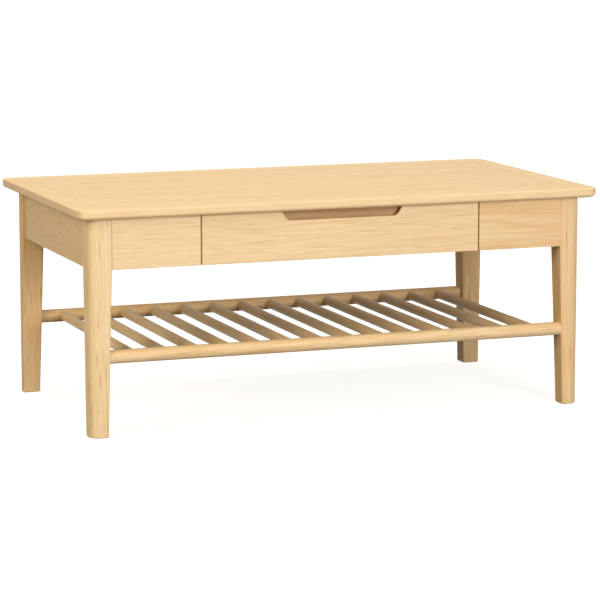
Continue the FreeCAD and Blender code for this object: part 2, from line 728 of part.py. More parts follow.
def drawer_side(label, side):
    """A drawer side: dovetailed at the front, grooved for its runner, the bottom and the back."""
    outer, inner = mirrored(side, BOX_OUTER_X), mirrored(side, BOX_INNER_X)
    body = new_body(label)
    plan = sketch_across(body, "Z", BOX_BOTTOM)
    ends = [(outer, DRAWER_FRONT_BACK), (outer, BOX_END_Y), (inner, BOX_END_Y), (inner, DRAWER_FRONT_BACK)]
    outline(plan, ends + dovetail(side, "0"))
    pad(body, plan, f"{BOX_TOP} - {BOX_BOTTOM}", "Z", 1)
    nose = f"({DRAWER_FRONT_BACK} - Sizes.dovetail_length)"
    cut_block(body, (inner, outer), (nose, DRAWER_FRONT_BACK), (DOVETAIL_TOP, BOX_TOP))
    cut_block(
        body,
        between(side, GROOVE_FLOOR_X, BOX_OUTER_X),
        (DRAWER_FRONT_BACK, BOX_END_Y),
        (GROOVE_BOTTOM, GROOVE_TOP),
    )
    cut_block(
        body,
        between(side, BOX_INNER_X, f"({BOX_INNER_X} + Sizes.drawer_bottom_groove)"),
        (nose, BOX_END_Y),
        (f"{TRAY_BOTTOM} - Sizes.panel_fit", f"{TRAY_TOP} + Sizes.panel_fit"),
    )
    cut_block(
        body,
        between(side, BOX_INNER_X, f"({BOX_INNER_X} + Sizes.dado_depth)"),
        (f"{DRAWER_BACK_FACE} - Sizes.glue_fit", f"{DRAWER_BACK_REAR} + Sizes.glue_fit"),
        (TRAY_TOP, BOX_TOP),
    )
    return body


def drawer_back():
    return board(
        "drawer_back",
        both_ways(f"({BOX_INNER_X} + Sizes.dado_depth - Sizes.glue_fit)"),
        (DRAWER_BACK_FACE, DRAWER_BACK_REAR),
        (TRAY_TOP, BOX_TOP),
    )


def drawer_bottom():
    return board(
        "drawer_bottom",
        both_ways(f"({BOX_INNER_X} + Sizes.drawer_bottom_groove - Sizes.panel_fit)"),
        (f"{DRAWER_FRONT_BACK} - Sizes.drawer_bottom_groove + Sizes.panel_fit", DRAWER_BACK_REAR),
        (TRAY_BOTTOM, TRAY_TOP),
    )


# Slatted shelf

def rod_places():
    """Where the rods lie along the stretchers, evenly spaced between the end gaps."""
    count = round(number("Sizes.rod_count"))
    first = f"(Sizes.rod_end_gap - {SHELF_LEG_X})"
    return [f"({first} * {1 - 2 * index / (count - 1)})" for index in range(count)]


def stretcher(label, end):
    """A round bar whose shoulders lie on the tapered legs, with a tenon at each end."""
    centre = (mirrored(end, STRETCHER_Y), "Sizes.shelf_height")
    body = new_body(label)
    section = sketch_across(body, "X", f"-{LEG_FACE_X}")
    circles(section, [centre], "Sizes.stretcher_diameter")
    pad(body, section, f"2 * {LEG_FACE_X}", "X", 1)
    for side in SIDES.values():
        shoulder = sketch_across(body, "Y", mirrored(end, LEG_FACE_Y))
        outline(shoulder, [
            (mirrored(side, LEG_INNER_X), APRON_BOTTOM),
            (mirrored(side, LEG_FACE_X), APRON_BOTTOM),
            (mirrored(side, LEG_FACE_X), "0"),
            (mirrored(side, FOOT_INNER_X), "0"),
        ])
        pocket(body, shoulder, "Sizes.leg_head_width", "Y", -end)
    tenon_length = f"2 * {TENON_END_X}"
    few_sided(
        body, "Additive", "X", f"-{TENON_END_X}", centre, "Sizes.stretcher_tenon_diameter", tenon_length, 1
    )
    bore(
        body,
        "Y",
        mirrored(end, f"({STRETCHER_Y} - Sizes.stretcher_diameter / 2)"),
        [(place, "Sizes.shelf_height") for place in rod_places()],
        "Sizes.rod_tenon_diameter + 2 * Sizes.glue_fit",
        "Sizes.rod_tenon_length + Sizes.hole_end_room",
        end,
    )
    return body


def rod(label, place):
    """A shelf rod, coped to the round stretchers, with a tenon at each end."""
    centre = (place, "Sizes.shelf_height")
    body = new_body(label)
    section = sketch_across(body, "Y", f"-{STRETCHER_Y}")
    circles(section, [centre], "Sizes.rod_diameter")
    pad(body, section, f"2 * {STRETCHER_Y}", "Y", 1)
    cope_start = f"{place} - Sizes.rod_diameter"
    cope_diameter = "(Sizes.stretcher_diameter + 2 * Sizes.glue_fit) / cos(180 / Sizes.cope_sides)"
    for y in both_ways(STRETCHER_Y):
        few_sided(
            body,
            "Subtractive",
            "X",
            cope_start,
            (y, "Sizes.shelf_height"),
            cope_diameter,
            "2 * Sizes.rod_diameter",
            1,
            "Sizes.cope_sides",
        )
    tenon_length = f"2 * {ROD_TENON_Y}"
    few_sided(body, "Additive", "Y", f"-{ROD_TENON_Y}", centre, "Sizes.rod_tenon_diameter", tenon_length, 1)


# Fasteners, each kind a group of separate solids

def spot(axis, along, centre):
    """A point from its place along an axis and its centre in a sketch across that axis."""
    first, second = number(centre[0]), number(centre[1])
    if axis == "X":
        return FreeCAD.Vector(along, first, second)
    if axis == "Y":
        return FreeCAD.Vector(first, along, second)
    return FreeCAD.Vector(first, second, along)


def group_piece(label, solids):
    """A piece made of separate solids."""
    piece = doc.addObject("Part::Feature", label)
    piece.Label = label
    piece.Shape = Part.Compound(solids)
    pieces.append(piece)


def ring(axis, along, centre, radius, sides):
    """The corners of a section with a few sides round a centre, square to an axis."""
    middle = spot(axis, along, centre)
    first = spot(axis, 0, ("1", "0"))
    second = spot(axis, 0, ("0", "1"))
    count = round(number(sides))
    turns = [2 * math.pi * index / count for index in range(count)]
    return [middle + first * (radius * math.cos(t)) + second * (radius * math.sin(t)) for t in turns]


def turned_solid(axis, centre, profile, sides):
    """A solid of plane faces through rings, each a place along an axis and a radius."""
    rings = [ring(axis, along, centre, radius, sides) for along, radius in profile]
    loops = [rings[0], rings[-1]]
    for low, high in zip(rings, rings[1:]):
        for index in range(len(low)):
            loops.append([low[index - 1], low[index], high[index], high[index - 1]])
    faces = [Part.Face(Part.makePolygon(loop + loop[:1])) for loop in loops]
    solid = Part.Solid(Part.Shell(faces))
    return solid if solid.Volume > 0 else solid.reversed()


def dowel_solid(axis, joint, way, centre, face_depth):
    """A dowel across a joint, from its end in the face piece back into the end piece."""
    radius = number("Sizes.dowel_diameter") / 2
    face_end = number(joint) + way * number(face_depth)
    far_end = face_end - way * number("Sizes.dowel_length")
    return turned_solid(axis, centre, [(face_end, radius), (far_end, radius)], "Sizes.joint_sides")


def screw_solid(axis, seat, way, centre, kind):
    """A pan-head wood screw with a blunt point: its head outside the seat, its shank beyond it."""
    radius = number(f"Sizes.{kind}_diameter") / 2
    length = number(f"Sizes.{kind}_length")
    head = number(f"Sizes.{kind}_head_diameter") / 2
    height = number(f"Sizes.{kind}_head_height")
    profile = [
        (-height, head - radius / 2),
        (-height / 2, head),
        (0, head),
        (0, radius),
        (length - 2 * radius, radius),
        (length, radius / 4),
    ]
    placed = [(number(seat) + way * depth, size) for depth, size in profile]
    return turned_solid(axis, centre, placed, "Sizes.screw_sides")


# The table put together

blank = top_blank()
border_board("front_border", blank, True, -1)
border_board("back_border", blank, True, 1)
border_board("left_border", blank, False, -1)
border_board("right_border", blank, False, 1)
top_panel = centre_panel()

legs = {(s, e): leg(f"{e}_{s}_leg", SIDES[s], ENDS[e]) for e in ENDS for s in SIDES}
side_aprons = {s: side_apron(f"{s}_side_apron", SIDES[s]) for s in SIDES}
rear_apron = back_apron()
front_panels = {s: front_panel(f"front_{s}_panel", SIDES[s]) for s in SIDES}
dividers = {s: divider(f"{s}_divider", SIDES[s]) for s in SIDES}
upper_rail = rail("upper_front_rail", UPPER_RAIL_BOTTOM)
lower_rail = rail("lower_front_rail", FRAME_BOTTOM)
blocks = {(s, e): corner_block(f"{e}_{s}_corner_block", SIDES[s], ENDS[e]) for e in ENDS for s in SIDES}
runners = {s: runner(f"{s}_runner", SIDES[s]) for s in SIDES}
stop = drawer_stop()

drawer_front()
handle_insert()
for side_name, side_way in SIDES.items():
    drawer_side(f"drawer_{side_name}_side", side_way)
rear_board = drawer_back()
tray = drawer_bottom()

for end_name, end_way in ENDS.items():
    stretcher(f"{end_name}_stretcher", end_way)
for rod_index, rod_place in enumerate(rod_places(), start=1):
    rod(f"shelf_rod_{rod_index:02d}", rod_place)

# Sockets in the legs for the stretchers
for (side_name, end_name), body in legs.items():
    side_way = SIDES[side_name]
    bore(
        body,
        "X",
        mirrored(side_way, LEG_INNER_X),
        [(mirrored(ENDS[end_name], STRETCHER_Y), "Sizes.shelf_height")],
        "Sizes.stretcher_tenon_diameter + 2 * Sizes.glue_fit",
        f"{TENON_END_X} - {LEG_INNER_X} + Sizes.hole_end_room",
        side_way,
    )

# Dowels between aprons, panels, dividers, rails and legs
half_dowel = "(Sizes.dowel_length / 2)"
apron_middle_x = f"(({SIDE_FACE_X} + {SIDE_INNER_X}) / 2)"
apron_middle_y = f"(({FRONT_FACE_Y} + {FRONT_INNER_Y}) / 2)"
rail_rows = (f"({RAIL_FRONT} + Sizes.rail_dowel_margin)", f"({RAIL_BACK} - Sizes.rail_dowel_margin)")
rail_middles = {
    upper_rail: f"({UPPER_RAIL_BOTTOM} + Sizes.rail_thickness / 2)",
    lower_rail: f"({FRAME_BOTTOM} + Sizes.rail_thickness / 2)",
}
for side_name, side_way in SIDES.items():
    leg_joint = mirrored(side_way, LEG_INNER_X)
    divider_face = mirrored(side_way, DIVIDER_FACE_X)
    for end_name, end_way in ENDS.items():
        body = legs[side_name, end_name]
        side_row = [(mirrored(side_way, apron_middle_x), z) for z in DOWEL_HEIGHTS]
        end_row = [(mirrored(end_way, apron_middle_y), z) for z in DOWEL_HEIGHTS]
        end_board = front_panels[side_name] if end_name == "front" else rear_apron
        divider_row = [(mirrored(side_way, DIVIDER_MIDDLE_X), z) for z in DOWEL_HEIGHTS]
        side_joint = mirrored(end_way, LEG_INNER_Y)
        divider_joint = mirrored(end_way, FRONT_INNER_Y)
        dowel_joint(side_aprons[side_name], body, "Y", side_joint, end_way, side_row, half_dowel)
        dowel_joint(end_board, body, "X", leg_joint, side_way, end_row, half_dowel)
        dowel_joint(
            dividers[side_name], end_board, "Y", divider_joint, end_way, divider_row, "Sizes.dowel_face_depth"
        )
    for body, height in rail_middles.items():
        rail_row = [(y, height) for y in rail_rows]
        dowel_joint(
            body, dividers[side_name], "X", divider_face, side_way, rail_row, "Sizes.dowel_face_depth"
        )

# Screws that hold the top, the runners, the stop and the drawer bottom
block_bottom = f"({UNDERSIDE} - Sizes.block_height)"
block_seat = f"({UPPER_RAIL_BOTTOM} + {SCREW_SEAT} - {block_bottom})"
rail_middle_y = f"(({RAIL_FRONT} + {RAIL_BACK}) / 2)"
for (side_name, end_name), body in blocks.items():
    block_x = mirrored(SIDES[side_name], f"({LEG_INNER_X} - Sizes.block_screw_inset)")
    block_y = mirrored(ENDS[end_name], f"({LEG_INNER_Y} - Sizes.block_screw_inset)")
    screw_joint(
        "top_fixing_screws", body, top_panel, "Z", block_bottom, block_seat, 1, [(block_x, block_y)]
    )
rail_screws = [(x, rail_middle_y) for x in both_ways("(Sizes.rail_screw_spacing / 2)")]
screw_joint(
    "top_fixing_screws", upper_rail, top_panel, "Z", UPPER_RAIL_BOTTOM, SCREW_SEAT, 1, rail_screws
)
runner_rows = (
    f"({RAIL_FRONT} + Sizes.runner_screw_margin)",
    f"(({RAIL_FRONT} + {RUNNER_END_Y}) / 2)",
    f"({RUNNER_END_Y} - Sizes.runner_screw_margin)",
)
runner_middle = f"({GROOVE_MIDDLE} + (Sizes.runner_side_gap - Sizes.runner_seat_gap) / 2)"
for side_name, side_way in SIDES.items():
    screw_joint(
        "runner_screws",
        runners[side_name],
        dividers[side_name],
        "X",
        mirrored(side_way, RUNNER_FACE_X),
        SCREW_SEAT,
        side_way,
        [(y, runner_middle) for y in runner_rows],
    )
stop_bottom = f"({UPPER_RAIL_BOTTOM} - Sizes.stop_height)"
stop_middle = ("0", f"({RAIL_BACK} - Sizes.stop_width / 2)")
screw_joint("drawer_stop_screw", stop, upper_rail, "Z", stop_bottom, SCREW_SEAT, 1, [stop_middle])
back_middle = f"(({DRAWER_BACK_FACE} + {DRAWER_BACK_REAR}) / 2)"
bottom_seat = "(Sizes.small_screw_head_height + Sizes.hole_end_room)"
bottom_row = [(x, back_middle) for x in ("-Sizes.bottom_screw_spacing", "0", "Sizes.bottom_screw_spacing")]
screw_joint(
    "drawer_bottom_screws", tray, rear_board, "Z", TRAY_BOTTOM, bottom_seat, 1, bottom_row, "small_screw"
)

group_piece("joint_dowels", [dowel_solid(*place) for place in dowels])
for group_label, places in screws.items():
    group_piece(group_label, [screw_solid(*place) for place in places])

doc.recompute()

# Nothing is written unless every object is sound and every cut removed something
for obj in doc.Objects:
    if "Invalid" in obj.State or "Error" in obj.State:
        raise RuntimeError(f"{obj.Label} failed to build")
    if obj.TypeId == "PartDesign::Pocket" or obj.TypeId.startswith("PartDesign::Subtractive"):
        if obj.Shape.Volume >= obj.BaseFeature.Shape.Volume:
            raise RuntimeError(f"{obj.Label} in {obj.getParentGeoFeatureGroup().Label} cuts nothing")
for piece in pieces:
    if piece.Shape.isNull() or not piece.Shape.isValid():
        raise RuntimeError(f"{piece.Label} has no sound shape")

os.makedirs("parts", exist_ok=True)
for piece in pieces:
    piece.Shape.exportStep(f"parts/{piece.Label}.step")
print(f"{len(pieces)} pieces written")
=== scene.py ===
import math

import bpy
from mathutils import Euler, Matrix, Vector


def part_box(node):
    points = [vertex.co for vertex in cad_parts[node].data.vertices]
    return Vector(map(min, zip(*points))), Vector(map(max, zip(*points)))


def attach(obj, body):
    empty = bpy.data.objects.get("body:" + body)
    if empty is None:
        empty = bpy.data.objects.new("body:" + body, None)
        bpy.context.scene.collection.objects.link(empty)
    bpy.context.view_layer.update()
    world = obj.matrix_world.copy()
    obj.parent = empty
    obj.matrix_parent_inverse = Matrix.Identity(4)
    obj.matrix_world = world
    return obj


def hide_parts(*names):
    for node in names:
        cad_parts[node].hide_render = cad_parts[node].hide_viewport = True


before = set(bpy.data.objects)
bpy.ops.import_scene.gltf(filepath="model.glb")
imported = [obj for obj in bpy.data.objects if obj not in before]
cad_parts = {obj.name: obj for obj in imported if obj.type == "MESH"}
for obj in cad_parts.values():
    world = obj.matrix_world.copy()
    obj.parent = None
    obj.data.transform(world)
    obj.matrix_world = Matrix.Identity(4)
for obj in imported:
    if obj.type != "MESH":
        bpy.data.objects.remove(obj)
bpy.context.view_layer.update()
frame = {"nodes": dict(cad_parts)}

bl_info = {
    "name": "Oak coffee table",
    "version": (1, 0, 0),
    "blender": (4, 5, 0),
    "location": "View3D > Sidebar > Table",
    "description": "Shapes and finishes the pieces of an oak coffee table and sets up a plain studio",
    "category": "Object",
}

# The frame: +X along the length, the front faces -Y, +Z is up, in metres.

# How a pattern is turned so that its grain, which runs along its own X, follows an axis of the table
GRAIN_TURN = {
    "X": Euler((0, 0, 0)),
    "Y": Euler((0, 0, -math.pi / 2)),
    "Z": Euler((0, math.pi / 2, 0)),
}
GOLDEN_STEP = 0.618034

# How often a pattern of the wood repeats in a metre, along the grain and across it
DRIFT = (1.6, 9.0, 9.0)
RIPPLE = (7.0, 90.0, 90.0)
BROAD_BANDS = (1.3, 24.0, 24.0)
STREAKS = (11.0, 250.0, 250.0)
FIBRES = (18.0, 430.0, 430.0)
RAYS = (26.0, 260.0, 260.0)
PORES = (60.0, 900.0, 900.0)
FLECKS = (13.0, 220.0, 220.0)
STEEL_MOTTLE = (900.0, 900.0, 900.0)

# The lacquered surface: its shine, and the depth of its pores and fibres
LACQUER_SHINE = 0.08
RELIEF_STRENGTH = 0.25
RELIEF_DEPTH = 0.0002

# Plywood: the plies, the share of the outer ones that is sanded off, and the glue lines
PLIES = 5
SANDED_OFF = 0.2
CROSS_PLY_SHADE = 0.7
GLUE_EDGE = 0.12
GLUE_CORE = 0.05

# Shaping: how far a cutter stands out, keeps off a face and goes into a room, and what is shaded as round
CUTTER_OVER = 0.004
CUTTER_OFF = 0.00002
CUTTER_INTO_ROOM = 0.0002
ROUND_ANGLE = math.radians(35)
CORNER_SEGMENTS = 12

# Screws: the sides of the plain CAD screw, and shares of the head's height and of the shank's radius
PLAIN_SIDES = 8
SCREW_SIDES = 32
HEAD_ROUNDING = 0.45
HEAD_SEGMENTS = 5
TIP_LENGTH = 2.2
TIP_END = 0.24
SCREW_BODIES = {
    "top_fixing_screws": "table_frame",
    "runner_screws": "table_frame",
    "drawer_stop_screw": "table_frame",
    "drawer_bottom_screws": "drawer",
}

# Studio: the floor's glow near the table and far from it, and each light's place, width, height and tint
FLOOR_SIZE = 120
FLOOR_NEAR = 0.9
FLOOR_FAR = 3.0
GLOW_NEAR = 0.84
GLOW_FAR = 1.0
LIGHT_AIM = (0, 0, 0.3)
LIGHTS = {
    "key": ((0.7, -4.35, 1.1), 1.5, 1.8, (1.0, 0.99, 0.97)),
    "top": ((0, 0, 3.2), 2.0, 2.0, (1.0, 0.93, 0.73)),
    "side": ((-3.0, -1.6, 1.6), 1.5, 1.5, (1.0, 0.88, 0.62)),
}


# Sizes and colours that a user would change

def colour(name, description, default):
    """A colour property."""
    return bpy.props.FloatVectorProperty(
        name=name, description=description, default=default, subtype="COLOR", min=0, max=1
    )


def angle(name, description, degrees):
    """An angle property, given in degrees."""
    return bpy.props.FloatProperty(
        name=name, description=description, default=math.radians(degrees), unit="ROTATION"
    )


def power(name, description, watts):
    """A lamp's power in watts."""
    return bpy.props.FloatProperty(name=name, description=description, default=watts, unit="POWER", min=0)


def length(name, description, default):
    """A length property in metres."""
    return bpy.props.FloatProperty(name=name, description=description, default=default, unit="LENGTH", min=0)


def share(name, description, default):
    """A property between 0 and 1."""
    return bpy.props.FloatProperty(
        name=name, description=description, default=default, subtype="FACTOR", min=0, max=1
    )


class TableFinish(bpy.types.PropertyGroup):
    """Colours and grain of the woods."""

    oak_pale: colour("Oak, pale", "Early wood of the oak", (0.885, 0.70, 0.455))
    oak_band: colour("Oak, bands", "Late wood of the oak", (0.76, 0.50, 0.25))
    oak_pore: colour("Oak, pores", "Open pores of the oak", (0.48, 0.27, 0.105))
    walnut_pale: colour("Walnut, pale", "Light wood of the pull's dark strip", (0.515, 0.325, 0.17))
    walnut_band: colour("Walnut, bands", "Dark bands of the pull's dark strip", (0.375, 0.22, 0.105))
    walnut_pore: colour("Walnut, pores", "Pores of the pull's dark strip", (0.20, 0.11, 0.055))
    inner_pale: colour("Inner wood, pale", "Light wood of the hidden frame and drawer", (0.80, 0.60, 0.36))
    inner_band: colour("Inner wood, bands", "Bands of the hidden frame and drawer box", (0.68, 0.47, 0.25))
    inner_pore: colour("Inner wood, pores", "Pores of the hidden frame and drawer box", (0.40, 0.25, 0.12))
    ply_glue: colour("Plywood, glue", "Dark glue lines in the edge of the drawer bottom", (0.26, 0.15, 0.075))
    steel: colour("Steel", "Plated steel of the screws", (0.62, 0.61, 0.57))
    ring_spacing: length("Ring spacing", "Distance between growth rings", 0.0042)
    satin: share("Satin", "Roughness of the clear lacquer", 0.42)


class TableDetail(bpy.types.PropertyGroup):
    """Sizes of the finger pull and of the screw heads."""

    pull_top: length("Pull, top", "Width of the finger pull at the top edge of the drawer front", 0.256)
    pull_bottom: length("Pull, bottom", "Width of the finger pull where its sides meet its floor", 0.2342)
    pull_depth: length("Pull, depth", "Depth of the finger pull below the top edge", 0.0182)
    pull_radius: length("Pull, radius", "Radius of the lower corners of the finger pull", 0.015)
    recess_depth: length("Recess depth", "Depth of the cross in a screw head", 0.0014)
    recess_length: share("Recess length", "Length of the cross as a share of the screw head", 0.6)
    recess_width: share("Recess width", "Width of the cross as a share of the screw head", 0.14)


class TableStudio(bpy.types.PropertyGroup):
    """Camera and light."""

    azimuth: angle("Azimuth", "Camera's place round the table", -20.33)
    elevation: angle("Elevation", "Camera's place above the floor", 9.07)
    distance: length("Distance", "From the camera to its target", 5.87763)
    target_x: length("Target along", "Camera's target along the table", 0.01028)
    target_z: length("Target up", "Camera's target above the floor", 0.2039)
    lens: bpy.props.FloatProperty(
        name="Lens", description="Focal length in millimetres", default=169.15, unit="CAMERA"
    )
    key_power: power("Key light", "Large soft light from the front", 127)
    top_power: power("Top light", "Soft light from above", 50)
    side_power: power("Side light", "Soft light from the front left", 50)
    fill: share("Fill", "Strength of the light from all round", 0.25)


# Node helpers

def add_node(tree, kind, inputs=None, **options):
    """A node with its options set and its inputs filled or linked."""
    made = tree.nodes.new(kind)
    for name, value in options.items():
        setattr(made, name, value)
    for key, value in (inputs or {}).items():
        if isinstance(value, bpy.types.NodeSocket):
            tree.links.new(value, made.inputs[key])
        else:
            made.inputs[key].default_value = value
    return made


def calculate(tree, operation, *values, clamp=False):
    """The result of a Math node."""
    made = add_node(tree, "ShaderNodeMath", dict(enumerate(values)), operation=operation, use_clamp=clamp)
    return made.outputs[0]


def total(tree, first, *others):
    """The sum of several values."""
    for other in others:
        first = calculate(tree, "ADD", first, other)
    return first


def blend_colours(tree, factor, first, second, blend_type="MIX"):
    """The result of a colour Mix node."""
    made = add_node(tree, "ShaderNodeMix", data_type="RGBA", blend_type=blend_type)
    for name, value in (("Factor_Float", factor), ("A_Color", first), ("B_Color", second)):
        socket = next(s for s in made.inputs if s.identifier == name)
        if isinstance(value, bpy.types.NodeSocket):
            tree.links.new(value, socket)
        else:
            socket.default_value = value
    return next(s for s in made.outputs if s.identifier == "Result_Color")


def rescale(tree, value, low, high, to_low=0.0, to_high=1.0, smooth=True):
    """A value mapped from one range onto another and held inside it."""
    made = add_node(
        tree,
        "ShaderNodeMapRange",
        {"Value": value, "From Min": low, "From Max": high, "To Min": to_low, "To Max": to_high},
        interpolation_type="SMOOTHSTEP" if smooth else "LINEAR",
    )
    return made.outputs["Result"]


def stretch(tree, vector, scale):
    """A vector scaled along each axis."""
    made = add_node(tree, "ShaderNodeVectorMath", {0: vector, 1: scale}, operation="MULTIPLY")
    return made.outputs["Vector"]


def noise(tree, vector, scale, detail=2.0, roughness=0.5):
    """Noise over a vector that is stretched first."""
    return add_node(
        tree,
        "ShaderNodeTexNoise",
        {"Vector": stretch(tree, vector, scale), "Scale": 1.0, "Detail": detail, "Roughness": roughness},
    )


def new_group(name, inputs, outputs):
    """A shader node group with its sockets, and its two end nodes."""
    tree = bpy.data.node_groups.new(name, "ShaderNodeTree")
    for socket, kind in inputs.items():
        tree.interface.new_socket(socket, in_out="INPUT", socket_type=kind)
    for socket, kind in outputs.items():
        tree.interface.new_socket(socket, in_out="OUTPUT", socket_type=kind)
    return tree, tree.nodes.new("NodeGroupInput").outputs, tree.nodes.new("NodeGroupOutput").inputs


# The figure of solid wood: growth rings round a pith, fibres, pores and flecks, all through the timber

WOOD_INPUTS = {
    "Vector": "NodeSocketVector",
    "Ring spacing": "NodeSocketFloat",
    "Pale": "NodeSocketColor",
    "Bands": "NodeSocketColor",
    "Pores": "NodeSocketColor",
    "Tone": "NodeSocketFloat",
    "Contrast": "NodeSocketFloat",
    "Pore share": "NodeSocketFloat",
    "Satin": "NodeSocketFloat",
}
WOOD_OUTPUTS = {"Color": "NodeSocketColor", "Roughness": "NodeSocketFloat", "Height": "NodeSocketFloat"}


def scattered_dashes(tree, vector, scale, edge, core):
    """A mask of short dashes along the grain, full at their core and gone at their edge."""
    cells = add_node(
        tree,
        "ShaderNodeTexVoronoi",
        {"Vector": stretch(tree, vector, scale), "Scale": 1.0, "Randomness": 1.0},
    )
    return rescale(tree, cells.outputs["Distance"], edge, core)


def swayed(tree, place):
    """Coordinates that wander a little to the sides along the grain."""
    drift = noise(tree, place, DRIFT).outputs["Color"]
    sway = add_node(tree, "ShaderNodeVectorMath", {0: drift, 1: (0.5, 0.5, 0.5)}, operation="SUBTRACT")
    sideways = stretch(tree, sway.outputs["Vector"], (0.0, 0.03, 0.03))
    return add_node(tree, "ShaderNodeVectorMath", {0: sideways, 1: place}, operation="ADD").outputs["Vector"]


def growth_rings(tree, place, spacing):
    """Masks of the late wood and of the early wood in the rings round the pith."""
    parts = add_node(tree, "ShaderNodeSeparateXYZ", {"Vector": swayed(tree, place)}).outputs
    across = calculate(tree, "POWER", parts["Y"], 2.0)
    across = calculate(tree, "MULTIPLY_ADD", parts["Z"], parts["Z"], across)
    radius = calculate(tree, "SQRT", across)
    ripple = noise(tree, place, RIPPLE).outputs["Fac"]
    ring = calculate(tree, "DIVIDE", radius, spacing)
    ring = calculate(tree, "MULTIPLY_ADD", ripple, 1.1, ring)
    phase = calculate(tree, "FRACT", ring)
    late = calculate(tree, "MULTIPLY", rescale(tree, phase, 0.15, 0.85), rescale(tree, phase, 1.0, 0.9))
    early = rescale(tree, phase, 0.5, 0.0)
    return late, early


def dark_marks(tree, place, early, streak, fleck_share):
    """A mask of the fine pores, most of them in early wood, and of the longer flecks in dark streaks."""
    pore = scattered_dashes(tree, place, PORES, 0.34, 0.16)
    pore = calculate(tree, "MULTIPLY", pore, calculate(tree, "MULTIPLY_ADD", early, 0.35, 0.06))
    fleck = scattered_dashes(tree, stretch(tree, place, (-1.0, 1.0, 1.0)), FLECKS, 0.36, 0.14)
    fleck = calculate(tree, "MULTIPLY", fleck, rescale(tree, streak, 0.42, 0.62, 0.0, fleck_share))
    return calculate(tree, "ADD", fleck, pore, clamp=True)


def pale_rays(tree, place, streak):
    """How much brighter the wood is where a ray shows, mostly in the pale streaks."""
    rays = scattered_dashes(tree, place, RAYS, 0.4, 0.15)
    rays = calculate(tree, "MULTIPLY", rays, rescale(tree, streak, 0.6, 0.35, 0.0, 0.55))
    return calculate(tree, "MULTIPLY_ADD", rays, 0.14, 1.0)


def wood_group():
    """The node group for solid wood, built once."""
    found = bpy.data.node_groups.get("solid_wood")
    if found:
        return found
    tree, given, result = new_group("solid_wood", WOOD_INPUTS, WOOD_OUTPUTS)
    place = given["Vector"]
    late, early = growth_rings(tree, place, given["Ring spacing"])
    broad = noise(tree, place, BROAD_BANDS, detail=3.0).outputs["Fac"]
    streak = noise(tree, place, STREAKS, detail=4.0, roughness=0.6).outputs["Fac"]
    fibre = noise(tree, place, FIBRES, detail=3.0, roughness=0.6).outputs["Fac"]
    figure = total(
        tree,
        calculate(tree, "MULTIPLY", late, rescale(tree, broad, 0.3, 0.7, 0.1, 0.35)),
        rescale(tree, broad, 0.25, 0.75, -0.28, 0.08),
        rescale(tree, streak, 0.32, 0.68, -0.28, 0.28),
        rescale(tree, fibre, 0.3, 0.75, -0.14, 0.14),
    )
    band = calculate(tree, "MULTIPLY_ADD", figure, given["Contrast"], given["Tone"], clamp=True)
    wood = blend_colours(tree, band, given["Pale"], given["Bands"])
    light = pale_rays(tree, place, streak)
    lit = add_node(tree, "ShaderNodeVectorMath", {0: wood, "Scale": light}, operation="SCALE")
    marks = dark_marks(tree, place, early, streak, given["Pore share"])
    tree.links.new(blend_colours(tree, marks, lit.outputs["Vector"], given["Pores"]), result["Color"])
    rough = calculate(tree, "MULTIPLY_ADD", marks, 0.2, given["Satin"])
    rough = calculate(tree, "ADD", rescale(tree, fibre, 0.2, 0.8, -0.05, 0.05), rough, clamp=True)
    tree.links.new(rough, result["Roughness"])
    height = calculate(tree, "MULTIPLY_ADD", marks, -1.0, calculate(tree, "MULTIPLY", fibre, 0.35))
    tree.links.new(height, result["Height"])
    return tree


# The edges of a board, where the cut fibres drink in more of the finish

EDGE_INPUTS = {"Vector": "NodeSocketVector", "Middle": "NodeSocketVector", "Half": "NodeSocketVector"}
EDGE_OUTPUTS = {"Mask": "NodeSocketFloat"}
EDGE_START = 0.0018
EDGE_FULL = 0.0004
NO_EDGE = 10.0


def edge_group():
    """The node group for a mask of the outermost edges of a board, built once."""
    found = bpy.data.node_groups.get("board_edges")
    if found:
        return found
    tree, given, result = new_group("board_edges", EDGE_INPUTS, EDGE_OUTPUTS)
    away = given["Vector"]
    for operation, other in (("SUBTRACT", given["Middle"]), ("ABSOLUTE", None), ("SUBTRACT", given["Half"])):
        step = add_node(tree, "ShaderNodeVectorMath", {0: away}, operation=operation)
        if other:
            tree.links.new(other, step.inputs[1])
        away = step.outputs["Vector"]
    parts = add_node(tree, "ShaderNodeSeparateXYZ", {"Vector": away}).outputs
    masks = [rescale(tree, parts[axis], -EDGE_START, -EDGE_FULL) for axis in "XYZ"]
    most = calculate(tree, "MAXIMUM", calculate(tree, "MAXIMUM", masks[0], masks[1]), masks[2])
    tree.links.new(most, result["Mask"])
    return tree


# Materials

def spread(index, low, high):
    """A value between two limits that differs from board to board."""
    return low + (high - low) * ((index * GOLDEN_STEP) % 1.0)


def new_material(name):
    """An empty node material with its surface shader."""
    material = bpy.data.materials.new(name)
    material.use_nodes = True
    tree = material.node_tree
    tree.nodes.clear()
    shader = tree.nodes.new("ShaderNodeBsdfPrincipled")
    output = tree.nodes.new("ShaderNodeOutputMaterial")
    tree.links.new(shader.outputs["BSDF"], output.inputs["Surface"])
    return material, tree, shader


def board_coordinates(tree, node, axis, pith, index):
    """Coordinates with the grain along an axis of the table and the pith beside the middle of a piece."""
    low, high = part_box(node)
    turn = GRAIN_TURN[axis]
    middle = (low + high) / 2
    middle.rotate(turn)
    start = Vector((spread(index, 0, 3), pith[0], pith[1])) - middle
    place = add_node(tree, "ShaderNodeTexCoord").outputs["Object"]
    mapped = add_node(
        tree, "ShaderNodeMapping", {"Vector": place, "Location": start, "Rotation": turn}, vector_type="POINT"
    )
    return mapped.outputs["Vector"]


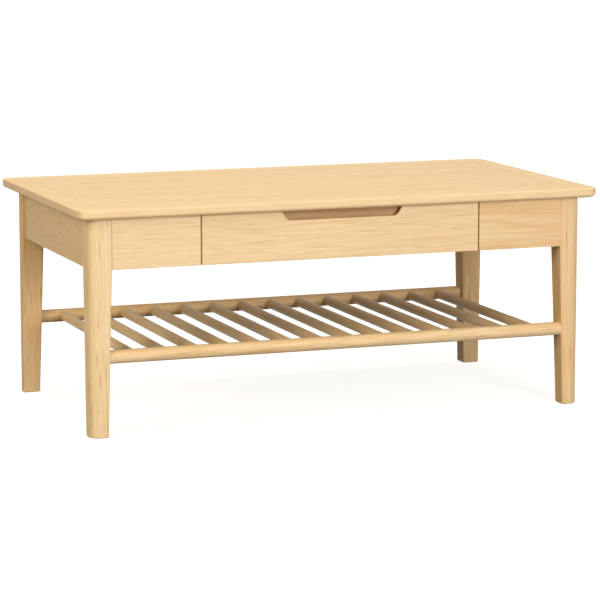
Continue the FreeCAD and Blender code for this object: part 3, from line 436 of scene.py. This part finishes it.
def board_ends(node, axis):
    """The middle of a piece, and half its length along its grain with no edge on the other two axes."""
    low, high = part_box(node)
    along = "XYZ".index(axis)
    half = Vector((NO_EDGE, NO_EDGE, NO_EDGE))
    half[along] = (high[along] - low[along]) / 2
    return (low + high) / 2, half


# The tone given to a board sets how dark its wood is. On some boards it is set lighter or darker to paint
# light and shade; on the others it is the board's own colour.
def wood_material(
    node, wood, axis, pith, index, tone=0.4, contrast=1.0, pores=0.25, edges=None, dark_edge=0.35
):
    """Solid wood for one piece, cut from its own place in the tree."""
    finish = bpy.context.scene.table_finish
    material, tree, shader = new_material(f"{wood}_{node}")
    pale, band, pore = [(*getattr(finish, f"{wood}_{part}"), 1.0) for part in ("pale", "band", "pore")]
    settings = {
        "Vector": board_coordinates(tree, node, axis, pith, index),
        "Ring spacing": finish.ring_spacing,
        "Pale": pale,
        "Bands": band,
        "Pores": pore,
        "Tone": tone + spread(index, -0.04, 0.04),
        "Contrast": contrast,
        "Pore share": pores,
        "Satin": finish.satin,
    }
    figure = add_node(tree, "ShaderNodeGroup", settings, node_tree=wood_group())
    relief = {"Height": figure.outputs["Height"], "Strength": RELIEF_STRENGTH, "Distance": RELIEF_DEPTH}
    bump = add_node(tree, "ShaderNodeBump", relief)
    middle, half = edges or board_ends(node, axis)
    place = add_node(tree, "ShaderNodeTexCoord").outputs["Object"]
    outline = {"Vector": place, "Middle": middle, "Half": half}
    rim = add_node(tree, "ShaderNodeGroup", outline, node_tree=edge_group())
    mask = calculate(tree, "MULTIPLY", rim.outputs["Mask"], dark_edge)
    shown = blend_colours(tree, mask, figure.outputs["Color"], pore)
    tree.links.new(shown, shader.inputs["Base Color"])
    tree.links.new(figure.outputs["Roughness"], shader.inputs["Roughness"])
    tree.links.new(bump.outputs["Normal"], shader.inputs["Normal"])
    shader.inputs["Specular IOR Level"].default_value = LACQUER_SHINE
    return material


def plywood_material(node):
    """Plywood for one flat piece: a calm face, and plies with dark glue lines in its edge."""
    finish = bpy.context.scene.table_finish
    material = wood_material(node, "inner", "X", (0.5, 0.06), 3, tone=0.2, contrast=0.7, dark_edge=0.0)
    tree = material.node_tree
    base = tree.nodes["Principled BSDF"].inputs["Base Color"]
    low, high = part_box(node)
    place = add_node(tree, "ShaderNodeTexCoord").outputs["Object"]
    up = add_node(tree, "ShaderNodeSeparateXYZ", {"Vector": place}).outputs["Z"]
    ply = rescale(tree, up, low.z, high.z, SANDED_OFF, PLIES - SANDED_OFF, smooth=False)
    crossed = calculate(tree, "GREATER_THAN", calculate(tree, "FLOORED_MODULO", ply, 2.0), 1.0)
    shade = calculate(tree, "MULTIPLY", crossed, CROSS_PLY_SHADE)
    edge = blend_colours(tree, shade, base.links[0].from_socket, (*finish.inner_pore, 1.0))
    glue = rescale(tree, calculate(tree, "PINGPONG", ply, 0.5), GLUE_EDGE, GLUE_CORE)
    tree.links.new(blend_colours(tree, glue, edge, (*finish.ply_glue, 1.0)), base)
    return material


def steel_material():
    """Plated steel with a faint mottle."""
    finish = bpy.context.scene.table_finish
    material, tree, shader = new_material("plated_steel")
    place = add_node(tree, "ShaderNodeTexCoord").outputs["Object"]
    mottle = noise(tree, place, STEEL_MOTTLE, detail=3.0).outputs["Fac"]
    bright = (*finish.steel, 1.0)
    dull = (*(0.72 * part for part in finish.steel), 1.0)
    tree.links.new(blend_colours(tree, mottle, bright, dull), shader.inputs["Base Color"])
    tree.links.new(rescale(tree, mottle, 0.2, 0.8, 0.24, 0.42), shader.inputs["Roughness"])
    shader.inputs["Metallic"].default_value = 1.0
    return material


def dress(piece, material):
    """Gives a piece its one material."""
    piece.data.materials.clear()
    piece.data.materials.append(material)


def dress_wood(nodes, wood, axis, piths, pieces=None, **look):
    """Gives each of a list of CAD pieces, or the pieces shown in their place, its own cut of wood."""
    shown = pieces or frame["nodes"]
    for index, node in enumerate(nodes):
        pith = piths[index % len(piths)]
        dress(shown[node], wood_material(node, wood, axis, pith, index + len(node), **look))


# Shaping

def select_only(*pieces):
    """Selects some pieces alone and makes the first one active."""
    bpy.ops.object.select_all(action="DESELECT")
    for piece in pieces:
        piece.select_set(True)
    bpy.context.view_layer.objects.active = pieces[0]


def apply_place():
    """Puts the place, turn and scale of what is selected into its mesh."""
    bpy.ops.object.transform_apply(location=True, rotation=True, scale=True)


def copied(node):
    """A piece of its own with the shape of a CAD piece, welded where its faces meet."""
    source = frame["nodes"][node]
    piece = bpy.data.objects.new(f"shaped_{node}", source.data.copy())
    bpy.context.collection.objects.link(piece)
    piece.matrix_world = source.matrix_world
    select_only(piece)
    apply_place()
    bpy.ops.object.mode_set(mode="EDIT")
    bpy.ops.mesh.select_all(action="SELECT")
    bpy.ops.mesh.customdata_custom_splitnormals_clear()
    bpy.ops.mesh.remove_doubles(threshold=1e-6)
    bpy.ops.object.mode_set(mode="OBJECT")
    return piece


def pick(piece, kind, wanted):
    """Goes into edit mode with the faces or edges selected that a test of their points accepts."""
    bpy.ops.object.mode_set(mode="EDIT")
    bpy.ops.mesh.select_mode(type=kind)
    bpy.ops.mesh.select_all(action="DESELECT")
    bpy.ops.object.mode_set(mode="OBJECT")
    for part in piece.data.polygons if kind == "FACE" else piece.data.edges:
        part.select = wanted([piece.data.vertices[index].co for index in part.vertices])
    bpy.ops.object.mode_set(mode="EDIT")


def cut(piece, cutter):
    """Takes the shape of a cutter out of a piece, and smooths what is round."""
    select_only(piece)
    bpy.ops.object.modifier_add(type="BOOLEAN")
    modifier = piece.modifiers[-1]
    modifier.operation = "DIFFERENCE"
    modifier.solver = "EXACT"
    modifier.object = cutter
    bpy.ops.object.modifier_apply(modifier=modifier.name)
    bpy.data.objects.remove(cutter)
    bpy.ops.object.shade_smooth_by_angle(angle=ROUND_ANGLE)


def pull_cutter(detail):
    """The room of the finger pull: sides that lean in, and round lower corners."""
    low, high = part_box("drawer_front")
    strip_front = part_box("handle_insert")[0].y
    lean = (detail.pull_top - detail.pull_bottom) / 2 / detail.pull_depth
    mouth = detail.pull_top + 2 * lean * CUTTER_OVER
    floor = high.z - detail.pull_depth + CUTTER_OFF
    size = Vector((mouth, strip_front - low.y + CUTTER_OVER, high.z + CUTTER_OVER - floor))
    middle = Vector((0, strip_front + CUTTER_INTO_ROOM - size.y / 2, floor + size.z / 2))
    bpy.ops.mesh.primitive_cube_add(size=1, location=middle, scale=size)
    cutter = bpy.context.object
    apply_place()
    pick(cutter, "FACE", lambda points: all(p.z < middle.z for p in points))
    bpy.ops.transform.resize(value=(detail.pull_bottom / mouth, 1, 1), center_override=(0, 0, 0))
    pick(cutter, "EDGE", lambda points: all(p.z < middle.z for p in points) and points[0].x == points[1].x)
    reach = detail.pull_radius * math.tan(math.atan2(1, lean) / 2)
    bpy.ops.mesh.bevel(offset=reach, offset_type="OFFSET", segments=CORNER_SEGMENTS, affect="EDGES")
    bpy.ops.object.mode_set(mode="OBJECT")
    return cutter


# Screws

def loose_parts(node):
    """The points of each separate solid in a CAD group."""
    copied(node)
    bpy.ops.object.mode_set(mode="EDIT")
    bpy.ops.mesh.separate(type="LOOSE")
    bpy.ops.object.mode_set(mode="OBJECT")
    parts = list(bpy.context.selected_objects)
    points = [[vertex.co.copy() for vertex in part.data.vertices] for part in parts]
    for part in parts:
        bpy.data.objects.remove(part)
    return points


def measure_screw(points):
    """A plain screw's place at the end of its head, its turn, and sizes for a round screw inside it."""
    low = Vector([min(p[i] for p in points) for i in range(3)])
    high = Vector([max(p[i] for p in points) for i in range(3)])
    span = high - low
    along = max(range(3), key=lambda i: span[i])
    start = (low + high) / 2
    across = [i for i in range(3) if i != along]
    away = [math.hypot(*(p[i] - start[i] for i in across)) for p in points]
    widest = max(away)
    head = [p[along] for p, radius in zip(points, away) if radius > 0.95 * widest]
    way = 1 if min(head) - low[along] < high[along] - max(head) else -1
    start[along] = low[along] if way > 0 else high[along]
    turn = Vector([way if i == along else 0 for i in range(3)]).to_track_quat("Z", "Y")
    head_height = max(abs(h - start[along]) for h in head)
    past_head = [abs(p[along] - start[along]) > 1.1 * head_height for p in points]
    shank = max(radius for radius, past in zip(away, past_head) if past)
    inside = math.cos(math.pi / PLAIN_SIDES)
    return start, turn, (widest * inside, head_height, shank * inside, span[along])


def screw_body(radius, height, shank, length_over_all):
    """A screw along +Z with a rounded head at the origin, a shank and a blunt tip, as one closed mesh."""
    bpy.ops.mesh.primitive_cylinder_add(
        vertices=SCREW_SIDES, radius=radius, depth=height, location=(0, 0, height / 2)
    )
    screw = bpy.context.object
    apply_place()
    pick(screw, "EDGE", lambda points: all(p.z < 0.1 * height for p in points))
    rounding = HEAD_ROUNDING * height
    bpy.ops.mesh.bevel(offset=rounding, offset_type="OFFSET", segments=HEAD_SEGMENTS, affect="EDGES")
    pick(screw, "FACE", lambda points: all(p.z > 0.99 * height for p in points))
    bpy.ops.mesh.inset(thickness=radius - shank)
    tip = TIP_LENGTH * shank
    for step in (length_over_all - height - tip, tip):
        bpy.ops.mesh.extrude_region_move(TRANSFORM_OT_translate={"value": (0, 0, step)})
    bpy.ops.transform.resize(value=(TIP_END, TIP_END, 1), center_override=(0, 0, 0))
    bpy.ops.object.mode_set(mode="OBJECT")
    return screw


def cut_cross(screw, detail, radius):
    """Cuts a cross into a screw's head."""
    long_side = 2 * radius * detail.recess_length
    short_side = 2 * radius * detail.recess_width
    for width, depth in ((long_side, short_side), (short_side, long_side)):
        bpy.ops.mesh.primitive_cube_add(size=1, scale=(width, depth, 2 * detail.recess_depth))
        apply_place()
        cut(screw, bpy.context.object)


def screw_set(node, detail):
    """Recessed screws in the places of a group of plain ones, as one piece."""
    places = [measure_screw(points) for points in loose_parts(node)]
    sizes = places[0][2]
    model = screw_body(*sizes)
    cut_cross(model, detail, sizes[0])
    screws = []
    for start, turn, _ in places:
        screw = model.copy()
        screw.data = model.data.copy()
        bpy.context.collection.objects.link(screw)
        screw.data.transform(turn.to_matrix().to_4x4())
        screw.data.transform(Matrix.Translation(start))
        screws.append(screw)
    bpy.data.objects.remove(model)
    select_only(*screws)
    if len(screws) > 1:
        bpy.ops.object.join()
    screws[0].name = f"recessed_{node}"
    return screws[0]


# Operators, one for each group of like pieces

class TABLE_OT_finish_top(bpy.types.Operator):
    """Finishes the panel and the mitred border of the top."""

    bl_idname = "table.finish_top"
    bl_label = "Finish top"

    def execute(self, context):
        opening = Vector((-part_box("left_border")[1].x, -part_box("front_border")[1].y, NO_EDGE))
        seam = (Vector((0, 0, 0)), opening)
        calm = {"contrast": 0.55, "pores": 0.15}
        dress_wood(["top_panel"], "oak", "X", [(0.05, 0.4)], tone=0.42, edges=seam, dark_edge=0.7, **calm)
        calm["dark_edge"] = 0.0
        # The front and back borders are given a paler tone than the panel: partly the borders' own lighter
        # wood, partly painted light on the front edge of the top.
        sides = ["front_border", "back_border"]
        dress_wood(sides, "oak", "X", [(0.16, 0.03), (-0.2, 0.05)], tone=0.25, **calm)
        ends = ["left_border", "right_border"]
        dress_wood(ends, "oak", "Y", [(0.14, 0.04), (-0.18, 0.03)], tone=0.35, **calm)
        return {"FINISHED"}


class TABLE_OT_finish_legs(bpy.types.Operator):
    """Finishes the four legs."""

    bl_idname = "table.finish_legs"
    bl_label = "Finish legs"

    def execute(self, context):
        # The front left leg is given a pale tone and the other three legs a dark one: painted light on the
        # front left leg, and painted shade on the legs to the right and at the back.
        dress_wood(["front_left_leg"], "oak", "Z", [(0.12, 0.05)], tone=0.25, contrast=0.7, pores=0.65)
        others = ["front_right_leg", "back_left_leg", "back_right_leg"]
        piths = [(-0.1, 0.09), (0.15, -0.06), (-0.12, -0.05)]
        dress_wood(others, "oak", "Z", piths, tone=0.7, contrast=0.7, pores=0.65)
        return {"FINISHED"}


class TABLE_OT_finish_aprons(bpy.types.Operator):
    """Finishes the aprons and the fixed front panels."""

    bl_idname = "table.finish_aprons"
    bl_label = "Finish aprons and panels"

    def execute(self, context):
        # The front left panel is given a pale tone and the front right panel a dark one: painted light
        # falling off from left to right across the front. The back apron shares the dark tone.
        dress_wood(["front_left_panel"], "oak", "X", [(0.05, 0.14)], tone=0.08, contrast=0.65)
        dress_wood(["front_right_panel", "back_apron"], "oak", "X", [(0.06, -0.12)], tone=0.65, contrast=0.75)
        sides = ["left_side_apron", "right_side_apron"]
        dress_wood(sides, "oak", "Y", [(0.06, 0.13), (0.05, -0.1)], tone=0.65, contrast=0.6)
        return {"FINISHED"}


class TABLE_OT_finish_shelf(bpy.types.Operator):
    """Finishes the stretchers and the rods of the shelf."""

    bl_idname = "table.finish_shelf"
    bl_label = "Finish shelf"

    def execute(self, context):
        rods = sorted(name for name in frame["nodes"] if name.startswith("shelf_rod_"))
        dress_wood(["front_stretcher"], "oak", "X", [(0.05, 0.07)], tone=0.55, pores=0.6)
        # The back stretcher is given the darkest tone: painted shade at the back under the table.
        dress_wood(["back_stretcher"], "oak", "X", [(0.08, -0.05)], tone=1.0)
        dress_wood(rods, "oak", "Y", [(0.06, 0.03), (-0.05, 0.05), (0.04, -0.07)], tone=0.3)
        return {"FINISHED"}


class TABLE_OT_finish_drawer(bpy.types.Operator):
    """Shapes the drawer front and finishes it, the dark strip of its pull and the drawer box."""

    bl_idname = "table.finish_drawer"
    bl_label = "Finish drawer"

    def execute(self, context):
        front = copied("drawer_front")
        cut(front, pull_cutter(context.scene.table_detail))
        shown = {"drawer_front": front}
        dress_wood(["drawer_front"], "oak", "X", [(0.06, 0.13)], shown, tone=0.42, contrast=0.75)
        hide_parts("drawer_front")
        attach(front, "drawer")
        dress_wood(["handle_insert"], "walnut", "X", [(0.05, 0.09)])
        dress_wood(["drawer_left_side", "drawer_right_side"], "inner", "Y", [(0.05, 0.12), (0.05, -0.12)])
        dress_wood(["drawer_back"], "inner", "X", [(0.06, 0.1)])
        dress(frame["nodes"]["drawer_bottom"], plywood_material("drawer_bottom"))
        return {"FINISHED"}


class TABLE_OT_finish_inner_frame(bpy.types.Operator):
    """Finishes the dividers, rails, runners, blocks, stop and dowels."""

    bl_idname = "table.finish_inner_frame"
    bl_label = "Finish inner frame"

    def execute(self, context):
        blocks = [f"{end}_{side}_corner_block" for end in ("front", "back") for side in ("left", "right")]
        carriers = ["left_divider", "right_divider", "left_runner", "right_runner"]
        dress_wood(carriers, "inner", "Y", [(0.06, 0.1)])
        dress_wood(["upper_front_rail", "lower_front_rail", "drawer_stop"], "inner", "X", [(0.05, 0.08)])
        dress_wood(blocks + ["joint_dowels"], "inner", "Z", [(0.05, 0.06), (0.07, -0.04)])
        return {"FINISHED"}


class TABLE_OT_finish_screws(bpy.types.Operator):
    """Shapes the screws and finishes them in plated steel."""

    bl_idname = "table.finish_screws"
    bl_label = "Finish screws"

    def execute(self, context):
        material = steel_material()
        for node, body in SCREW_BODIES.items():
            screws = screw_set(node, context.scene.table_detail)
            dress(screws, material)
            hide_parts(node)
            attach(screws, body)
        return {"FINISHED"}


# Stage

def seen_directly(tree):
    """Whether a ray comes from the camera, a mirror or glass."""
    path = add_node(tree, "ShaderNodeLightPath").outputs
    shiny = calculate(tree, "MAXIMUM", path["Is Glossy Ray"], path["Is Transmission Ray"])
    return calculate(tree, "MAXIMUM", path["Is Camera Ray"], shiny)


def floor_material():
    """A floor that keeps a soft shadow, is white further off and throws back less light than it shows."""
    material = bpy.data.materials.new("studio_floor")
    material.use_nodes = True
    tree = material.node_tree
    tree.nodes.clear()
    shown = add_node(tree, "ShaderNodeAddShader")
    white = add_node(tree, "ShaderNodeBsdfDiffuse", {"Color": (0.45, 0.45, 0.45, 1.0)})
    place = add_node(tree, "ShaderNodeTexCoord").outputs["Object"]
    away = add_node(tree, "ShaderNodeVectorMath", {0: place}, operation="LENGTH").outputs["Value"]
    strength = rescale(tree, away, FLOOR_NEAR, FLOOR_FAR, GLOW_NEAR, GLOW_FAR)
    glow = add_node(tree, "ShaderNodeEmission", {"Color": (1.0, 1.0, 1.0, 1.0), "Strength": strength})
    tree.links.new(white.outputs["BSDF"], shown.inputs[0])
    tree.links.new(glow.outputs["Emission"], shown.inputs[1])
    grey = add_node(tree, "ShaderNodeBsdfDiffuse", {"Color": (0.16, 0.15, 0.13, 1.0)})
    mixed = add_node(tree, "ShaderNodeMixShader", {"Fac": seen_directly(tree)})
    tree.links.new(grey.outputs["BSDF"], mixed.inputs[1])
    tree.links.new(shown.outputs["Shader"], mixed.inputs[2])
    output = tree.nodes.new("ShaderNodeOutputMaterial")
    tree.links.new(mixed.outputs["Shader"], output.inputs["Surface"])
    return material


def studio_world(fill):
    """White where it is seen, and an even warm fill for the object."""
    world = bpy.data.worlds.new("studio")
    world.use_nodes = True
    tree = world.node_tree
    tree.nodes.clear()
    seen = seen_directly(tree)
    white = add_node(tree, "ShaderNodeBackground", {"Color": (1.0, 1.0, 1.0, 1.0), "Strength": 1.0})
    warm = add_node(tree, "ShaderNodeBackground", {"Color": (1.0, 0.84, 0.58, 1.0), "Strength": fill})
    mixed = add_node(tree, "ShaderNodeMixShader", {"Fac": seen})
    tree.links.new(warm.outputs["Background"], mixed.inputs[1])
    tree.links.new(white.outputs["Background"], mixed.inputs[2])
    output = tree.nodes.new("ShaderNodeOutputWorld")
    tree.links.new(mixed.outputs["Shader"], output.inputs["Surface"])
    bpy.context.scene.world = world


def soft_light(name, watts, place, width, height, tint):
    """A soft light that looks from a place at the table."""
    way = Vector(LIGHT_AIM) - Vector(place)
    bpy.ops.object.light_add(type="AREA", location=place, rotation=way.to_track_quat("-Z", "Y").to_euler())
    lamp = bpy.context.object
    lamp.name = name
    lamp.data.shape = "RECTANGLE"
    lamp.data.size = width
    lamp.data.size_y = height
    lamp.data.energy = watts
    lamp.data.color = tint
    lamp.visible_camera = False


class TABLE_OT_stage(bpy.types.Operator):
    """Adds the floor, the lights and the camera."""

    bl_idname = "table.stage"
    bl_label = "Studio"

    def execute(self, context):
        studio = context.scene.table_studio
        bpy.ops.mesh.primitive_plane_add(size=FLOOR_SIZE)
        floor = context.object
        floor.name = "floor"
        floor.data.materials.append(floor_material())
        studio_world(studio.fill)
        for name, layout in LIGHTS.items():
            soft_light(f"{name}_light", getattr(studio, f"{name}_power"), *layout)
        target = Vector((studio.target_x, 0, studio.target_z))
        flat = math.cos(studio.elevation)
        back = Vector((
            math.sin(studio.azimuth) * flat,
            -math.cos(studio.azimuth) * flat,
            math.sin(studio.elevation),
        ))
        bpy.ops.object.camera_add(
            location=target + back * studio.distance,
            rotation=(-back).to_track_quat("-Z", "Y").to_euler(),
        )
        camera = context.object
        camera.data.lens = studio.lens
        context.scene.camera = camera
        context.scene.view_settings.view_transform = "Standard"
        return {"FINISHED"}


STEPS = (
    TABLE_OT_finish_top,
    TABLE_OT_finish_legs,
    TABLE_OT_finish_aprons,
    TABLE_OT_finish_shelf,
    TABLE_OT_finish_drawer,
    TABLE_OT_finish_inner_frame,
    TABLE_OT_finish_screws,
    TABLE_OT_stage,
)


class VIEW3D_PT_table(bpy.types.Panel):
    """Lists the steps and the values that can be changed."""

    bl_label = "Oak coffee table"
    bl_space_type = "VIEW_3D"
    bl_region_type = "UI"
    bl_category = "Table"

    def draw(self, context):
        scene = context.scene
        for settings in (scene.table_finish, scene.table_detail, scene.table_studio):
            for name in settings.__annotations__:
                self.layout.prop(settings, name)
        for step in STEPS:
            self.layout.operator(step.bl_idname)


CLASSES = (TableFinish, TableDetail, TableStudio, *STEPS, VIEW3D_PT_table)


def register():
    for kind in CLASSES:
        bpy.utils.register_class(kind)
    bpy.types.Scene.table_finish = bpy.props.PointerProperty(type=TableFinish)
    bpy.types.Scene.table_detail = bpy.props.PointerProperty(type=TableDetail)
    bpy.types.Scene.table_studio = bpy.props.PointerProperty(type=TableStudio)


def unregister():
    del bpy.types.Scene.table_studio
    del bpy.types.Scene.table_detail
    del bpy.types.Scene.table_finish
    for kind in reversed(CLASSES):
        bpy.utils.unregister_class(kind)


def main():
    register()
    bpy.ops.object.select_all(action="DESELECT")
    for step in STEPS:
        group, name = step.bl_idname.split(".")
        getattr(getattr(bpy.ops, group), name)()


if __name__ == "__main__":
    main()
